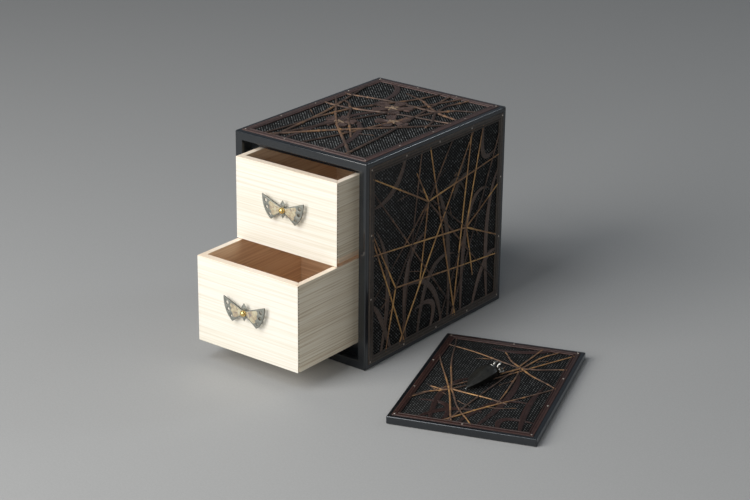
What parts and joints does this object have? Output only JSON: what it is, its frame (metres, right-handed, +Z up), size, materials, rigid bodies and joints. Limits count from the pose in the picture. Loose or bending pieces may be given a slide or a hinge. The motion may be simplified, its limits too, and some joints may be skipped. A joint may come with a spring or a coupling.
{
  "type": "personal seal box",
  "caption": "Lacquered seal box with openwork over a woven ground, pull-out paulownia drawers with butterfly pulls, and a drop-in front lid lying beside it.",
  "frame": {"origin": "centre of the cabinet's underside", "axes": "+Z up, the cabinet's open front and its drawers face -Y, +X towards the lid that lies beside it"},
  "size_m": [0.3599, 0.3004, 0.2008],
  "materials": {
    "lacquer": "polished black lacquer on wood",
    "openwork": "brown lacquered openwork with gold-brown stems",
    "woven_ground": "fine dark twill weave, lacquered",
    "paulownia": "planed bare pale wood with fine straight grain",
    "pewter": "dull grey metal with pearly inlay",
    "gilt": "polished gilt bead",
    "dark_horn": "satin black carved wood",
    "silver": "polished silver"
  },
  "bodies": {
    "case": {"cabinet": "lacquer", "drawer_shelf": "lacquer", "bay_back_board": "lacquer", "top_ground": "woven_ground", "right_ground": "woven_ground", "left_ground": "woven_ground", "back_ground": "woven_ground", "top_openwork": "openwork", "right_openwork": "openwork", "left_openwork": "openwork", "back_openwork": "openwork", "lid_board": "lacquer", "lid_ground": "woven_ground", "lid_openwork": "openwork", "lid_knob_wings": "dark_horn", "lid_knob_head": "silver"},
    "upper_drawer": {"upper_front": "paulownia", "upper_right_side": "paulownia", "upper_left_side": "paulownia", "upper_back": "paulownia", "upper_bottom": "paulownia", "upper_pull_plate": "pewter", "upper_pull_bead": "gilt"},
    "lower_drawer": {"lower_front": "paulownia", "lower_right_side": "paulownia", "lower_left_side": "paulownia", "lower_back": "paulownia", "lower_bottom": "paulownia", "lower_pull_plate": "pewter", "lower_pull_bead": "gilt"}
  },
  "joints": [
    {"name": "upper_drawer_slide", "type": "slide", "parent": "case", "child": "upper_drawer", "axis": [0, -1, 0], "range_m": [-0.0399, 0.084]},
    {"name": "lower_drawer_slide", "type": "slide", "parent": "case", "child": "lower_drawer", "axis": [0, -1, 0], "range_m": [-0.0945, 0.0296]}
  ]
}
